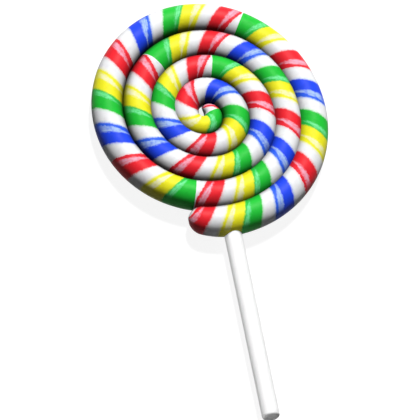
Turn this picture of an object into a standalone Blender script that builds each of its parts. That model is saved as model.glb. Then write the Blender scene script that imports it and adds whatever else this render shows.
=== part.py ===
"""Swirl lollipop: one rope of striped hard candy wound into a flat coil, on a straight round stick.

The lollipop lies on its back. The shown side of the coil faces +Z, and the stick points along -Y.
Lengths are in metres. The origin is at the bottom centre of the whole part's box.
"""
import bpy
import bmesh
from bisect import bisect
from math import asin, cos, pi, radians, sin, sqrt, tau
from mathutils import Matrix, Vector

MM = 0.001

# The coil. Angles are measured from +X, and the rope is followed from its outer end inwards.
TURNS = 4.43
START_ANGLE = radians(-106.5)
OUTER_RADIUS = 40.5 * MM        # of the rope's centre line, at the outer end
WIND_IN = 45.6 * MM             # fall of that radius over FULL_TURNS, were it even
WIND_EASE = 5.9 * MM            # the fall slows a little towards the centre
FULL_TURNS = 4.5
OVAL = 0.0154                   # the hand-wound coil is slightly oval...
OVAL_ANGLE = radians(17.8)
LOBE = 0.007                    # ...with a slight three-lobed unevenness
LOBE_ANGLE = radians(18.8)
DRIFT = 8.4 * MM                # the middle turns sit off centre, by a quarter of this at most
DRIFT_ANGLE = radians(-13.3)

# The rope's section: an ellipse that lies on a flat strip.
ROPE_HALF_WIDTH = 5.4 * MM
ROPE_THINNING = 0.12            # share of the width lost by the inner end
ROPE_HALF_HEIGHT = 4.85 * MM
REST_HEIGHT = 4.6 * MM          # of the rope's centre line over the surface that it lies on

# Each end slims down on its free side, over a length, and then rounds off in a short nose.
OUTER_END = {"slim": 0.22, "length": 13 * MM, "nose": 4.5 * MM, "tip": 0.3, "towards": -1}
INNER_END = {"slim": 0.39, "length": 16 * MM, "nose": 3.5 * MM, "tip": 0.3, "towards": 0.64}

# The stick, and the blind socket that the candy has set around it.
STICK_RADIUS = 3.0 * MM
STICK_SIDE = 2.9 * MM           # the stick's axis passes this far to the +X side of the coil's centre
STICK_HEIGHT = 3.7 * MM         # of the stick's axis over the surface
STICK_END = -113.3 * MM         # the free end
STICK_DEPTH = 7.4 * MM          # held in the outer turn
STICK_ROUNDING = 1.1 * MM
CLEARANCE = 0.3 * MM

STEPS_PER_TURN = 44
SECTION_STEPS = 14
NOSE_STEPS = 4
STICK_SIDES = 32
FINE_STEPS = 400                # per turn, for measuring along the rope


def centre_line(turn):
    """Point of the rope's centre line, a number of turns in from its outer end."""
    share = turn / FULL_TURNS
    angle = START_ANGLE + turn * tau
    radius = OUTER_RADIUS - WIND_IN * share + WIND_EASE * share ** 2
    radius *= 1 - OVAL * cos(2 * (angle - OVAL_ANGLE)) - LOBE * cos(3 * (angle - LOBE_ANGLE))
    drift = DRIFT * share * (1 - share)
    x = radius * cos(angle) + drift * cos(DRIFT_ANGLE)
    y = radius * sin(angle) + drift * sin(DRIFT_ANGLE)
    return Vector((x, y, REST_HEIGHT))


def lengths_along():
    """Length of the centre line up to each fine step."""
    lengths = [0.0]
    for step in range(round(TURNS * FINE_STEPS)):
        piece = centre_line((step + 1) / FINE_STEPS) - centre_line(step / FINE_STEPS)
        lengths.append(lengths[-1] + piece.length)
    return lengths


LENGTHS = lengths_along()


def length_at(turn):
    step = min(int(turn * FINE_STEPS), len(LENGTHS) - 2)
    share = turn * FINE_STEPS - step
    return LENGTHS[step] * (1 - share) + LENGTHS[step + 1] * share


def turn_at(length):
    step = min(max(bisect(LENGTHS, length) - 1, 0), len(LENGTHS) - 2)
    return (step + (length - LENGTHS[step]) / (LENGTHS[step + 1] - LENGTHS[step])) / FINE_STEPS


def end_shape(end, distance):
    """Size of the section and its sideways shift, as shares, at a distance from one of the ends."""
    slim = end["slim"] * max(0.0, 1 - distance / end["length"]) ** 1.5
    nose = max(0.0, 1 - distance / end["nose"])
    rounding = max(end["tip"], sqrt(1 - nose ** 2))
    return (1 - slim) * rounding, end["towards"] * slim


def rope_section(turn):
    """Points of one cross-section, from the flat strip's outer edge over the top to its inner edge."""
    along = (centre_line(turn + 0.001) - centre_line(turn - 0.001)).normalized()
    outward = along.cross(Vector((0, 0, 1)))
    outer_size, outer_shift = end_shape(OUTER_END, length_at(turn))
    inner_size, inner_shift = end_shape(INNER_END, LENGTHS[-1] - length_at(turn))
    size = outer_size * inner_size
    full_width = ROPE_HALF_WIDTH * (1 - ROPE_THINNING * turn / FULL_TURNS)
    half_height = ROPE_HALF_HEIGHT * size
    centre = centre_line(turn) + outward * full_width * (outer_shift + inner_shift)
    lowest = asin(min(1.0, REST_HEIGHT / half_height))
    for step in range(SECTION_STEPS + 1):
        angle = -lowest + (pi + 2 * lowest) * step / SECTION_STEPS
        side = outward * full_width * size * cos(angle)
        yield centre + side + Vector((0, 0, half_height * sin(angle)))


def rope_stations():
    """Turn of every cross-section, from the outer end to the inner end, closer together in the noses."""
    swings = [pi / 2 * step / NOSE_STEPS for step in range(NOSE_STEPS)]
    outer = [turn_at(OUTER_END["nose"] * (1 - cos(swing))) for swing in swings]
    inner = [turn_at(LENGTHS[-1] - INNER_END["nose"] * (1 - cos(swing))) for swing in swings]
    first = turn_at(OUTER_END["nose"])
    last = turn_at(LENGTHS[-1] - INNER_END["nose"])
    steps = round((last - first) * STEPS_PER_TURN)
    body = [first + (last - first) * step / steps for step in range(steps + 1)]
    return outer + body + inner[::-1]


def material(name, colour, roughness):
    made = bpy.data.materials.new(name)
    made.use_nodes = True
    shader = made.node_tree.nodes["Principled BSDF"]
    shader.inputs["Base Color"].default_value = (*colour, 1)
    shader.inputs["Roughness"].default_value = roughness
    shader.inputs["Metallic"].default_value = 0
    made.diffuse_color = (*colour, 1)
    return made


def new_object(name, mesh, parent):
    made = bpy.data.objects.new(name, mesh)
    bpy.context.collection.objects.link(made)
    made.parent = parent
    return made


def finished_mesh(name, shape):
    """Mesh made from a bmesh, with its faces pointing out, rounded ones shaded smooth."""
    bmesh.ops.recalc_face_normals(shape, faces=shape.faces)
    mesh = bpy.data.meshes.new(name)
    shape.to_mesh(mesh)
    shape.free()
    mesh.shade_smooth()
    mesh.set_sharp_from_angle(angle=radians(50))
    return mesh


def rope_mesh():
    """The whole rope as one swept tube. Its turns run into each other where they are fused."""
    shape = bmesh.new()
    rings = []
    for turn in rope_stations():
        rings.append([shape.verts.new(point) for point in rope_section(turn)])
    for ring, following in zip(rings, rings[1:]):
        for index in range(len(ring)):
            beside = (index + 1) % len(ring)
            shape.faces.new((ring[index], ring[beside], following[beside], following[index]))
    shape.faces.new(rings[0])
    shape.faces.new(rings[-1])
    return finished_mesh("candy_swirl", shape)


def stick_mesh(name, radius, start, end, rounding):
    """A round bar along Y, from start down to end, with its free end rounded."""
    shape = bmesh.new()
    place = Matrix.Translation((STICK_SIDE, (start + end) / 2, STICK_HEIGHT)) @ Matrix.Rotation(pi / 2, 4, "X")
    bmesh.ops.create_cone(shape, cap_ends=True, segments=STICK_SIDES, radius1=radius, radius2=radius,
                          depth=start - end, matrix=place)
    if rounding:
        rim = [edge for edge in shape.edges if all(abs(vert.co.y - end) < CLEARANCE for vert in edge.verts)]
        bmesh.ops.bevel(shape, geom=rim, offset=rounding, segments=3, profile=0.5, affect="EDGES")
    return finished_mesh(name, shape)


def socket_bottom():
    """Y of the stick's inner end, in the outer turn."""
    outer_edge = -min(centre_line(step / STEPS_PER_TURN).y for step in range(STEPS_PER_TURN)) + ROPE_HALF_WIDTH
    return STICK_DEPTH - outer_edge


def candy_swirl(parent):
    """The coil: its turns fused into one body, with the stick's socket cut into the outer turn."""
    candy = new_object("candy_swirl", rope_mesh(), parent)
    cutter_mesh = stick_mesh("socket", STICK_RADIUS + CLEARANCE, socket_bottom() + CLEARANCE, STICK_END / 2, 0)
    cutter = new_object("socket", cutter_mesh, parent)
    cutter.hide_render = True
    cutter.display_type = "WIRE"
    cut = candy.modifiers.new("Fused turns and socket", "BOOLEAN")
    cut.operation = "DIFFERENCE"
    cut.solver = "EXACT"
    cut.use_self = True
    cut.object = cutter
    candy.data.materials.append(material("striped hard candy", (0.85, 0.2, 0.22), 0.25))
    return candy


def stick(parent):
    """The white stick, from inside the outer turn to its rounded free end."""
    made = new_object("stick", stick_mesh("stick", STICK_RADIUS, socket_bottom(), STICK_END, STICK_ROUNDING), parent)
    made.data.materials.append(material("white stick", (0.9, 0.9, 0.9), 0.45))
    return made


def box_centre(objects):
    """Middle, in X and Y, of the box around the objects' own meshes."""
    points = [vert.co for made in objects for vert in made.data.vertices]
    x = (min(point.x for point in points) + max(point.x for point in points)) / 2
    y = (min(point.y for point in points) + max(point.y for point in points)) / 2
    return Vector((x, y, 0))


for old in list(bpy.data.objects):
    bpy.data.objects.remove(old)
lollipop = bpy.data.objects.new("lollipop", None)
bpy.context.collection.objects.link(lollipop)
pieces = [candy_swirl(lollipop), stick(lollipop)]
lollipop.location = -box_centre(pieces)
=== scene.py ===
"""Swirl lollipop: a rope of striped hard candy wound into a flat coil on a white stick, on a pale table."""
from math import cos, pi, radians, sin, tau

import bpy
import numpy as np
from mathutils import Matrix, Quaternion, Vector


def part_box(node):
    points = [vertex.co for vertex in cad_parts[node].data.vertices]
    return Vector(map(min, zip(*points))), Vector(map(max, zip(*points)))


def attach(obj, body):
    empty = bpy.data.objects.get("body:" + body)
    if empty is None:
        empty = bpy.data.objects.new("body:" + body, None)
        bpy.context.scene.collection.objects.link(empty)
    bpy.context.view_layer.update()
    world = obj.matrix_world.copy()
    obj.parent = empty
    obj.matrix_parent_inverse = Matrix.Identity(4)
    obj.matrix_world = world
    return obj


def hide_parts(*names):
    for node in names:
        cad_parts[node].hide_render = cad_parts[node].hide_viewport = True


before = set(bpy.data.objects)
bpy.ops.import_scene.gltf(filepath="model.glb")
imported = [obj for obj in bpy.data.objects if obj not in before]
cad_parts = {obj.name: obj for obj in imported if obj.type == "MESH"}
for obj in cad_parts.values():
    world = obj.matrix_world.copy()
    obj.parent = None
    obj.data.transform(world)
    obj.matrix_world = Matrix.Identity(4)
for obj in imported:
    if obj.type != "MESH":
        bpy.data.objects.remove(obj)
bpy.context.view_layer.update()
bpy.ops.object.select_all(action="DESELECT")

# The winding: a long rope of pulled sugar is wound by hand, while it is warm, into a flat coil on a slab. Its
# turns are followed from the outer end inwards. They are slightly oval and uneven.
MM = 0.001
TURNS = 4.43
FULL_TURNS = 4.5                # the turns of a rope that would end at the very middle
START_ANGLE = radians(-106.5)
OUTER_RADIUS = 40.5 * MM        # of the rope's centre line, at the outer end
WIND_IN = 45.6 * MM             # fall of that radius over FULL_TURNS, were it even
WIND_EASE = 5.9 * MM            # the fall slows a little towards the centre
OVAL = 0.0154
OVAL_ANGLE = radians(17.8)
LOBE = 0.007                    # a slight three-lobed unevenness
LOBE_ANGLE = radians(18.8)
DRIFT = 8.4 * MM                # the middle turns sit off centre, by a quarter of this at most
DRIFT_ANGLE = radians(-13.3)
REST_HEIGHT = 4.6 * MM          # of the centre line over the table
STEPS_PER_TURN = 360
STICK_SIDE = 2.9 * MM           # from the coil's centre to the stick's axis
STICK_END = -113.3 * MM         # from the coil's centre to the stick's free end
stick_low, stick_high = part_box("stick")
stick_middle = (stick_low + stick_high) / 2
coil_centre = Vector((stick_middle.x - STICK_SIDE, stick_low.y - STICK_END, REST_HEIGHT))


def centre_line(turn):
    """Point of the rope's centre line, a number of turns in from its outer end."""
    share = turn / FULL_TURNS
    angle = START_ANGLE + turn * tau
    radius = OUTER_RADIUS - WIND_IN * share + WIND_EASE * share ** 2
    radius *= 1 - OVAL * cos(2 * (angle - OVAL_ANGLE)) - LOBE * cos(3 * (angle - LOBE_ANGLE))
    drift = DRIFT * share * (1 - share)
    x = radius * cos(angle) + drift * cos(DRIFT_ANGLE)
    y = radius * sin(angle) + drift * sin(DRIFT_ANGLE)
    return coil_centre + Vector((x, y, 0))


route = [centre_line(step / STEPS_PER_TURN) for step in range(round(TURNS * STEPS_PER_TURN) + 1)]
steps = [(there - here).length for here, there in zip(route, route[1:])]
lengths = np.concatenate([[0], np.cumsum(steps)])
rope_length = float(lengths[-1])
winding_curve = bpy.data.curves.new("winding", "CURVE")
winding_curve.dimensions = "3D"
winding_curve.twist_mode = "Z_UP"
spline = winding_curve.splines.new("POLY")
spline.points.add(len(route) - 1)
for point, place in zip(spline.points, route):
    point.co = (*place, 1)
winding = bpy.data.objects.new("winding", winding_curve)
bpy.context.collection.objects.link(winding)

# The candy rope, made straight and then wound: opaque pulled sugar, rolled to an even thickness by hand. Each
# end is slimmed on its free side and rounded off, and the underside has settled into a flat strip.
ROPE_HALF_WIDTH = 5.4 * MM
ROPE_HALF_HEIGHT = 4.85 * MM
ROPE_THINNING = 0.12            # share of the width lost by the inner end
ROPE_SIDES = 64
LENGTHWISE_CUTS = (35, 35)      # made one after the other, which gives 1296 steps along the rope
# Over its length, an end loses a share of its size and moves towards one side, outwards if positive. Then it
# rounds off in its nose.
OUTER_END = {"slim": 0.22, "length": 13 * MM, "nose": 4.5 * MM, "towards": -1}
INNER_END = {"slim": 0.39, "length": 16 * MM, "nose": 3.5 * MM, "towards": 0.64}
SLIM_CURVE = 1.5                # how gently the slimming starts
NOSE_CUT = 0.995                # share of the nose's length that is kept: its very tip is a small flat
TOLERANCE = 0.1 * MM


def select_edges(piece, wanted):
    """Selects the edges whose two ends fit a test, and leaves the piece in edit mode."""
    bpy.ops.object.mode_set(mode="EDIT")
    bpy.ops.mesh.select_mode(type="EDGE")
    bpy.ops.mesh.select_all(action="DESELECT")
    bpy.ops.object.mode_set(mode="OBJECT")
    for edge in piece.data.edges:
        edge.select = wanted(*(piece.data.vertices[index].co for index in edge.vertices))
    bpy.ops.object.mode_set(mode="EDIT")


def end_shape(end, distance):
    """Size of the section and its sideways shift, as shares, at distances from one of the ends."""
    slim = end["slim"] * np.clip(1 - distance / end["length"], 0, 1) ** SLIM_CURVE
    nose = np.clip(1 - distance / end["nose"], 0, NOSE_CUT)
    return (1 - slim) * np.sqrt(1 - nose ** 2), end["towards"] * slim


bpy.ops.mesh.primitive_cylinder_add(vertices=ROPE_SIDES, radius=1, depth=rope_length,
                                    location=(rope_length / 2, 0, 0), rotation=(0, pi / 2, 0))
candy = bpy.context.object
candy.name = "candy_rope"
bpy.ops.object.transform_apply(location=True, rotation=True, scale=True)
for cuts in LENGTHWISE_CUTS:
    select_edges(candy, lambda here, there: abs(here.x - there.x) > TOLERANCE)
    bpy.ops.mesh.subdivide(number_cuts=cuts)
bpy.ops.object.mode_set(mode="OBJECT")
places = np.empty(len(candy.data.vertices) * 3, np.float32)
candy.data.vertices.foreach_get("co", places)
along, across, upward = places.reshape(-1, 3).T.astype(float)
turn = np.interp(along, lengths, np.linspace(0, TURNS, len(route)))
outer_size, outer_shift = end_shape(OUTER_END, along)
inner_size, inner_shift = end_shape(INNER_END, rope_length - along)
size = outer_size * inner_size
half_width = ROPE_HALF_WIDTH * (1 - ROPE_THINNING * turn / FULL_TURNS)
sideways = half_width * (across * size + outer_shift + inner_shift)
height = np.maximum(ROPE_HALF_HEIGHT * size * upward, -REST_HEIGHT)
shaped = np.stack([along, -sideways, height], axis=1)
candy.data.vertices.foreach_set("co", shaped.astype(np.float32).ravel())

# Every point of the rope keeps its place from before the winding: the length along the rope, in mm, and how
# far it lies outwards and upwards in the section, from -1 to 1. The stripes are laid out in these.
rope_place = candy.data.attributes.new("rope_place", "FLOAT_VECTOR", "POINT")
straight = np.stack([along / MM, across, upward], axis=1)
rope_place.data.foreach_set("vector", straight.astype(np.float32).ravel())
wind = candy.modifiers.new("Winding", "CURVE")
wind.object = winding
wind.deform_axis = "POS_X"
bpy.ops.object.modifier_apply(modifier="Winding")
bpy.data.objects.remove(winding)
bpy.ops.object.mode_set(mode="EDIT")
bpy.ops.mesh.select_all(action="SELECT")
bpy.ops.mesh.normals_make_consistent(inside=False)
bpy.ops.object.mode_set(mode="OBJECT")
bpy.ops.object.shade_smooth()


class Value:
    """A number that varies over a surface. Python's operators on it add Math nodes to its finish."""

    def __init__(self, finish, socket):
        self.finish = finish
        self.socket = socket

    def output(self, number):
        """Another output of the node that this number comes from."""
        return Value(self.finish, self.socket.node.outputs[number])

    def math(self, operation, *inputs):
        return self.finish.node("ShaderNodeMath", {"operation": operation}, dict(enumerate(inputs)))

    def __add__(self, other):
        return self.math("ADD", self, other)

    def __radd__(self, other):
        return self.math("ADD", other, self)

    def __sub__(self, other):
        return self.math("SUBTRACT", self, other)

    def __rsub__(self, other):
        return self.math("SUBTRACT", other, self)

    def __mul__(self, other):
        return self.math("MULTIPLY", self, other)

    def __rmul__(self, other):
        return self.math("MULTIPLY", other, self)

    def __truediv__(self, other):
        return self.math("DIVIDE", self, other)

    def __mod__(self, other):
        return self.math("FLOORED_MODULO", self, other)

    def __gt__(self, other):
        return self.math("GREATER_THAN", self, other)

    def __lt__(self, other):
        return self.math("LESS_THAN", self, other)

    def __abs__(self):
        return self.math("ABSOLUTE", self)

    def at_least(self, other):
        return self.math("MAXIMUM", self, other)

    def step(self, start, end):
        """0 before start, 1 past end, and a smooth rise between."""
        inputs = {"Value": self, "From Min": start, "From Max": end}
        return self.finish.node("ShaderNodeMapRange", {"interpolation_type": "SMOOTHSTEP"}, inputs)


class Finish:
    """A material and its nodes."""

    def __init__(self, name, **constants):
        self.material = bpy.data.materials.new(name)
        self.material.use_nodes = True
        self.tree = self.material.node_tree
        self.shader = self.tree.nodes["Principled BSDF"]
        self.fill(self.shader, constants)

    def fill(self, made, inputs):
        """Sets or links a node's sockets. Their names may have underscores for spaces."""
        for name, value in inputs.items():
            socket = made.inputs[name.replace("_", " ") if isinstance(name, str) else name]
            if isinstance(value, Value):
                self.tree.links.new(value.socket, socket)
            else:
                socket.default_value = value

    def node(self, kind, settings=None, inputs=None, output=0):
        """Adds a node of a type, with its settings and then the values or links of its sockets."""
        made = self.tree.nodes.new(kind)
        for name, value in (settings or {}).items():
            if name == "stops":
                self.set_stops(made.color_ramp, value)
            elif name == "between_stops":
                made.color_ramp.interpolation = value
            else:
                setattr(made, name, value)
        self.fill(made, inputs or {})
        return Value(self, made.outputs[output])

    def set_stops(self, ramp, stops):
        while len(ramp.elements) < len(stops):
            ramp.elements.new(1)
        for element, (position, colour) in zip(ramp.elements, stops):
            element.position = position
            element.color = (*colour, 1)

    def noise(self, place, scale, detail, roughness=0.5):
        inputs = {"Vector": place, "Scale": scale, "Detail": detail, "Roughness": roughness}
        return self.node("ShaderNodeTexNoise", {}, inputs)

    def vector(self, x, y, z):
        return self.node("ShaderNodeCombineXYZ", {}, {0: x, 1: y, 2: z})

    def vector_math(self, operation, *inputs, output=0):
        return self.node("ShaderNodeVectorMath", {"operation": operation}, dict(enumerate(inputs)), output)

    def mix(self, share, first, second, blend_type="MIX"):
        """A colour made of two, with a share of the second from 0 to 1."""
        settings = {"data_type": "RGBA", "blend_type": blend_type}
        return self.node("ShaderNodeMix", settings, {0: share, 6: first, 7: second}, output=2)

    def surface(self, **inputs):
        """Links what varies over the surface to the shader."""
        self.fill(self.shader, inputs)


def screen_colour(*levels):
    """Linear colour of a colour given as it looks on a screen, as red, green and blue from 0 to 255."""
    shares = [level / 255 for level in levels]
    return tuple(((share + 0.055) / 1.055) ** 2.4 if share > 0.04045 else share / 12.92 for share in shares)


# The stripes: coloured sugar pressed into the white rope, in slanted bands of red, yellow with green, and
# blue. The rope is joined from lengths that each start the pattern afresh, and end in a green that runs to
# the join. Lengths in this section are in mm along the rope.
JOIN = 112.4                    # from one join to the next
FIRST_JOIN = -1.2
TIGHT_TURN = 449.0              # from here on the winding presses the bands a little closer
PRESSED = 1.017
LAST_JOIN = 555.6               # the fifth length is cut a little short
FULL_LENGTHS = 5
REPEAT = 42.5                   # one set of bands
LAST_GREEN = 2 * REPEAT + 20.4  # past this, a length stays green...
GREEN_PLACE = 24.2              # ...as a set of bands is here
LEAN = 2.6                      # how far a band leans between the rope's middle and its side
LEAD = 1.6                      # white at the start of each length
EDGE = 0.27                     # half of a band's soft edge
BLEED = 1.0                     # how far a band tints the white beside it
LINE_FADE = 2.6                 # from a band's start to where it has its full colour
RAGGED = 1.3                    # how strongly noise moves the bands' edges
SLIVER = 0.35                   # white that shows at each join
WHITE = screen_colour(250, 251, 253)
# A band starts as a narrow line of its own colour and goes over into the main one. A painted highlight, a
# pale streak, lies on the first part, and the white beside the band is tinted. Colours are as on a screen,
# from 0 to 255.
BANDS = [
    {"from": 0.0, "to": 7.2, "line": (250, 48, 62), "main": (250, 40, 52), "tint": (250, 226, 230),
     "painted_highlight": (255, 182, 204), "highlight_start": 1.1, "highlight_width": 2.0},
    {"from": 11.7, "to": 18.5, "line": (252, 248, 48), "main": (252, 246, 40), "tint": (251, 251, 222),
     "painted_highlight": (255, 255, 205), "highlight_start": 1.05, "highlight_width": 2.05},
    {"from": 18.5, "to": 25.0, "line": (48, 205, 78), "main": (37, 204, 61), "tint": (226, 250, 230),
     "painted_highlight": (118, 240, 158), "highlight_start": 0.45, "highlight_width": 1.7},
    {"from": 29.9, "to": 37.4, "line": (55, 112, 250), "main": (38, 78, 250), "tint": (226, 234, 252),
     "painted_highlight": (176, 206, 255), "highlight_start": 1.1, "highlight_width": 2.15},
]

sugar = Finish("striped hard candy", IOR=1.45, Specular_IOR_Level=0.13)
place = sugar.node("ShaderNodeAttribute", {"attribute_name": "rope_place"}, output=1)
along_rope = sugar.node("ShaderNodeSeparateXYZ", {}, {0: place})
outward = along_rope.output(1)
upright = abs(along_rope.output(2))
in_mm = sugar.vector_math("MULTIPLY", place, (1, ROPE_HALF_WIDTH / MM, ROPE_HALF_HEIGHT / MM))
ragged = sugar.noise(in_mm, scale=1.6, detail=4.0, roughness=0.7) - 0.5
pressed = along_rope + (PRESSED - 1) * (along_rope - TIGHT_TURN).at_least(0)
cut_short = FIRST_JOIN + FULL_LENGTHS * JOIN - LAST_JOIN - (PRESSED - 1) * (LAST_JOIN - TIGHT_TURN)
in_length = (pressed + cut_short * (along_rope > LAST_JOIN) - FIRST_JOIN) % JOIN
slanted = in_length + LEAN * outward - LEAD
in_set = (slanted + RAGGED * ragged) % REPEAT
in_set = in_set - (in_set - GREEN_PLACE).at_least(0) * (in_length > LAST_GREEN)
stops = []
for band in BANDS:
    line, main, tint = (screen_colour(*band[part]) for part in ("line", "main", "tint"))
    after_white = band["from"] not in [other["to"] for other in BANDS]
    before_white = band["to"] not in [other["from"] for other in BANDS]
    if after_white and band["from"] > 0:
        stops += [(band["from"] - BLEED, WHITE), (band["from"] - EDGE, tint)]
    stops += [(band["from"] + EDGE, line), (band["from"] + LINE_FADE, main), (band["to"] - EDGE, main)]
    if before_white:
        stops += [(band["to"] + EDGE, tint), (band["to"] + BLEED, WHITE)]
stops += [(REPEAT - BLEED, WHITE), (REPEAT - EDGE, screen_colour(*BANDS[0]["tint"]))]
band_stops = [(at / REPEAT, colour) for at, colour in stops]
bands = sugar.node("ShaderNodeValToRGB", {"stops": band_stops}, {0: in_set / REPEAT})

# The painted highlight in each band: a pale, streaky stroke of lighter colour. It closes to a point on the
# rope's inward side, is widest on the outward side, and fades out at the rope's edge there.
HIGHLIGHT_LEAD = 1.0                 # how far before its band a painted highlight's colour is taken up
HIGHLIGHT_OPENS = (-0.95, 0.2)       # from the closed point outwards across the rope
HIGHLIGHT_FADES = (0.6, 1.0)
NEAR_CLOSING = 1.3              # how far each of the painted highlight's two edges moves in towards the point
FAR_CLOSING = 0.45
NEAR_EDGE = (-0.3, 0.4)         # the soft edges
FAR_EDGE = (0.4, -0.45)
BRUSHED = 1.4                   # how strongly the stroke noise moves the painted highlight's edges
strands = sugar.noise(sugar.vector(2.4 * slanted, 1.2 * outward, 0.1 * along_rope), scale=1.0, detail=3.0)
strokes = sugar.noise(sugar.vector(1.2 * slanted, 3.0 * outward, 0.1 * along_rope), scale=1.0, detail=4.0,
                      roughness=0.7)
blotches = sugar.noise(in_mm, scale=0.9, detail=2.0).step(0.3, 0.55)
# Colours of the painted highlights, one for each band.
highlight_stops = [(max(band["from"] - HIGHLIGHT_LEAD, 0) / REPEAT, screen_colour(*band["painted_highlight"])) for band in BANDS]
highlight_colour = sugar.node("ShaderNodeValToRGB", {"stops": highlight_stops, "between_stops": "CONSTANT"},
                         {0: in_set / REPEAT})
closed = 1 - outward.step(*HIGHLIGHT_OPENS)
painted_highlight = 0.0
for band in BANDS:
    in_band = in_set - band["from"] + BRUSHED * (strokes - 0.5)
    past_near_edge = in_band - band["highlight_start"] - NEAR_CLOSING * closed
    past_far_edge = in_band - (band["highlight_start"] + band["highlight_width"]) + FAR_CLOSING * closed
    painted_highlight = painted_highlight + past_near_edge.step(*NEAR_EDGE) * past_far_edge.step(*FAR_EDGE)
fading = 1 - outward.step(*HIGHLIGHT_FADES)
streaky = (0.05 + 1.3 * strands) * (0.72 + 0.58 * blotches)
# Painted highlight: the pale streak is mixed over the band colours.
striped = sugar.mix(painted_highlight * fading * streaky, bands, highlight_colour)
striped = sugar.mix(in_length > JOIN - SLIVER, striped, (*WHITE, 1))

# The base colour carries painted shade. It is darkened towards the creases between the turns, and less on the
# first turn's outer side, which is free. The open top is slightly cloudy, with a fine uneven grain.
FREE_LENGTH = 232.0             # of the first turn, in mm
FREE_FADE = 12.0
RIM_SHADE_OPENNESS = 0.6
RIM_SHADE_FADE = 0.62                 # what the free side's painted-shade openness loses by the top
# Painted shade: grey levels that multiply the base colour, from deep in a crease (0) to the open top (1).
CREASE_PAINTED_SHADE = [(0.0, 0.03), (0.26, 0.09), (0.5, 0.34), (0.72, 0.72), (0.88, 0.94), (1.0, 1.0)]
CLOUD = (0.93, 0.915, 0.925, 1)
free_side = outward.step(-0.1, 0.1) * (1 - along_rope.step(FREE_LENGTH, FREE_LENGTH + FREE_FADE))
painted_shade_openness = upright + free_side * (RIM_SHADE_OPENNESS - RIM_SHADE_FADE * upright)
painted_shade_stops = [(at, (grey, grey, grey)) for at, grey in CREASE_PAINTED_SHADE]
painted_crease_shade = sugar.node("ShaderNodeValToRGB", {"stops": painted_shade_stops}, {0: painted_shade_openness})
# Painted shade is multiplied into the striped colour here.
shade_painted = sugar.mix(1.0, striped, painted_crease_shade, "MULTIPLY")
grain = sugar.noise(in_mm, scale=0.5, detail=4.0)
cloudy = sugar.mix(grain.step(0.45, 0.75), shade_painted, CLOUD, "MULTIPLY")
relief = {"Strength": 0.3, "Distance": 0.2 * MM, "Height": 0.7 * grain + 0.3 * strands}
sugar_bump = sugar.node("ShaderNodeBump", {}, relief)
sugar.surface(Base_Color=cloudy, Normal=sugar_bump, Roughness=0.4 + 0.16 * grain)
candy.data.materials.append(sugar.material)
candy.visible_diffuse = False   # so that no light passes from turn to turn
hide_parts("candy_swirl")
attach(candy, "root")

# The stick: a straight round stick of tightly rolled white paper, pushed into the outer turn while the candy
# is soft. Its free end is trimmed square, with the rolled layers showing, and its rim is slightly rounded.
STICK_SIDES = 96
RIM_ROUNDING = 1.1 * MM
RIM_SEGMENTS = 8
SMOOTH_ANGLE = radians(40)
PAPER = screen_colour(252, 252, 252)
PAPER_EDGE = screen_colour(214, 213, 210)
LAYER = 0.3 * MM
LAYER_SHARE = 0.78              # of a layer that is paper, before the darker line to the next
LAYERS_REACH = 0.3 * MM         # how far from the trimmed end the layers show
LAYERS_FADE = 0.1 * MM
SEAM_DROP = 0.9 * MM            # the roll's seam runs along one side, a little below the axis
SEAM_WIDTH = 0.06 * MM
SEAM_STRENGTH = 0.5
FIBRE_STRETCH = 0.25
stick_length = stick_high.y - stick_low.y
bpy.ops.mesh.primitive_cylinder_add(vertices=STICK_SIDES, radius=(stick_high.x - stick_low.x) / 2,
                                    depth=stick_length, location=stick_middle, rotation=(pi / 2, 0, 0))
stick = bpy.context.object
stick.name = "paper_stick"
bpy.ops.object.transform_apply(location=True, rotation=True, scale=True)
select_edges(stick, lambda here, there: max(here.y, there.y) < stick_low.y + TOLERANCE)
bpy.ops.mesh.bevel(offset=RIM_ROUNDING, segments=RIM_SEGMENTS, affect="EDGES")
bpy.ops.object.mode_set(mode="OBJECT")
bpy.ops.object.shade_smooth_by_angle(angle=SMOOTH_ANGLE)

paper = Finish("rolled white paper", Subsurface_Weight=0.3, Subsurface_Radius=(1, 1, 1),
               Subsurface_Scale=1 * MM)
spot = paper.node("ShaderNodeTexCoord", output=3)
from_middle = paper.vector_math("SUBTRACT", spot, stick_middle)
sides = paper.node("ShaderNodeSeparateXYZ", {}, {0: from_middle})
radially = paper.vector_math("MULTIPLY", from_middle, (1, 0, 1))
in_layer = paper.vector_math("LENGTH", radially, output=1) / LAYER % 1
from_end = sides.output(1) + stick_length / 2
layers = (in_layer > LAYER_SHARE) * (1 - (from_end - LAYERS_REACH).step(0, LAYERS_FADE))
seam = (abs(sides.output(2) + SEAM_DROP) < SEAM_WIDTH) * (sides < 0)
shaded = paper.mix((SEAM_STRENGTH * seam).at_least(layers), (*PAPER, 1), (*PAPER_EDGE, 1))
fibres = paper.noise(paper.vector_math("MULTIPLY", spot, (1, FIBRE_STRETCH, 1)), scale=1600.0, detail=3.0)
relief = {"Strength": 0.2, "Distance": 0.1 * MM, "Height": fibres - 0.5 * layers}
paper_bump = paper.node("ShaderNodeBump", {}, relief)
paper.surface(Base_Color=shaded, Normal=paper_bump, Roughness=0.45 + 0.2 * fibres)
stick.data.materials.append(paper.material)
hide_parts("stick")
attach(stick, "root")

# The table: a plain pale sheet, just under the flat strip that the lollipop lies on. It is lit evenly from
# within, so that the shadow on it stays faint. The lollipop takes only reflections from it.
TABLE_SIZE = 4
TABLE_DROP = 0.05 * MM
bpy.ops.mesh.primitive_plane_add(size=TABLE_SIZE, location=(0, 0, -TABLE_DROP))
table = bpy.context.object
table.name = "table"
sheet = Finish("pale table", Base_Color=(0.2, 0.2, 0.2, 1), Roughness=0.8, Emission_Color=(1, 1, 1, 1),
               Emission_Strength=0.89)
table.data.materials.append(sheet.material)
table.visible_diffuse = False

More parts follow.
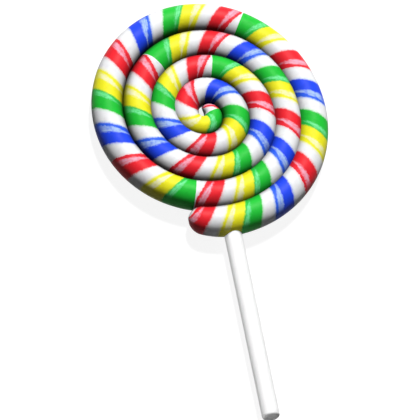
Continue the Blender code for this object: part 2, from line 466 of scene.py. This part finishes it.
# Studio light: a soft key lamp high beyond the far side of the coil, a dim even fill from above, and a low
# lamp for the stick alone, in place of the light that a pale table gives back.
LAMPS = [
    {"name": "key_light", "from": (0.199, 0.608, 0.769), "energy": 4.0, "spread": 10},
    {"name": "fill_light", "from": (0, 0, 1), "energy": 0.21, "spread": 170},
    {"name": "table_bounce", "from": (-0.95, -0.2, 0.25), "energy": 1.35, "spread": 60, "only_on": stick},
]
SURROUND_STRENGTH = 0.02

for lamp in LAMPS:
    light = bpy.data.lights.new(lamp["name"], "SUN")
    light.energy = lamp["energy"]
    light.angle = radians(lamp["spread"])
    light.cycles.use_multiple_importance_sampling = False
    hung = bpy.data.objects.new(lamp["name"], light)
    hung.rotation_euler = Vector(lamp["from"]).to_track_quat("Z", "Y").to_euler()
    bpy.context.collection.objects.link(hung)
    if "only_on" in lamp:
        lit = bpy.data.collections.new("lit_by_" + lamp["name"])
        lit.objects.link(lamp["only_on"])
        hung.light_linking.receiver_collection = lit
surround = bpy.data.worlds.new("pale surround")
surround.use_nodes = True
background = surround.node_tree.nodes["Background"]
background.inputs["Color"].default_value = (1, 1, 1, 1)
background.inputs["Strength"].default_value = SURROUND_STRENGTH
bpy.context.scene.world = surround
bpy.context.scene.view_settings.view_transform = "Standard"

# The camera looks down at the lying lollipop through a long lens, from the stick's side and a little to the
# left of it, and is rolled so that the stick leans.
AZIMUTH = radians(-26.87)
ELEVATION = radians(62.46)
ROLL = radians(18.0)
AIM = Vector((-6.53, 0.63, 4.6)) * MM
DISTANCE = 4.0
VIEW_WIDTH = 140.4 * MM
towards = Vector((sin(AZIMUTH) * cos(ELEVATION), -cos(AZIMUTH) * cos(ELEVATION), sin(ELEVATION)))
lens = bpy.data.cameras.new("camera")
lens.lens = lens.sensor_width * DISTANCE / VIEW_WIDTH
camera = bpy.data.objects.new("camera", lens)
camera.location = AIM + towards * DISTANCE
camera.rotation_mode = "QUATERNION"
camera.rotation_quaternion = towards.to_track_quat("Z", "Y") @ Quaternion((0, 0, 1), ROLL)
bpy.context.collection.objects.link(camera)
bpy.context.scene.camera = camera
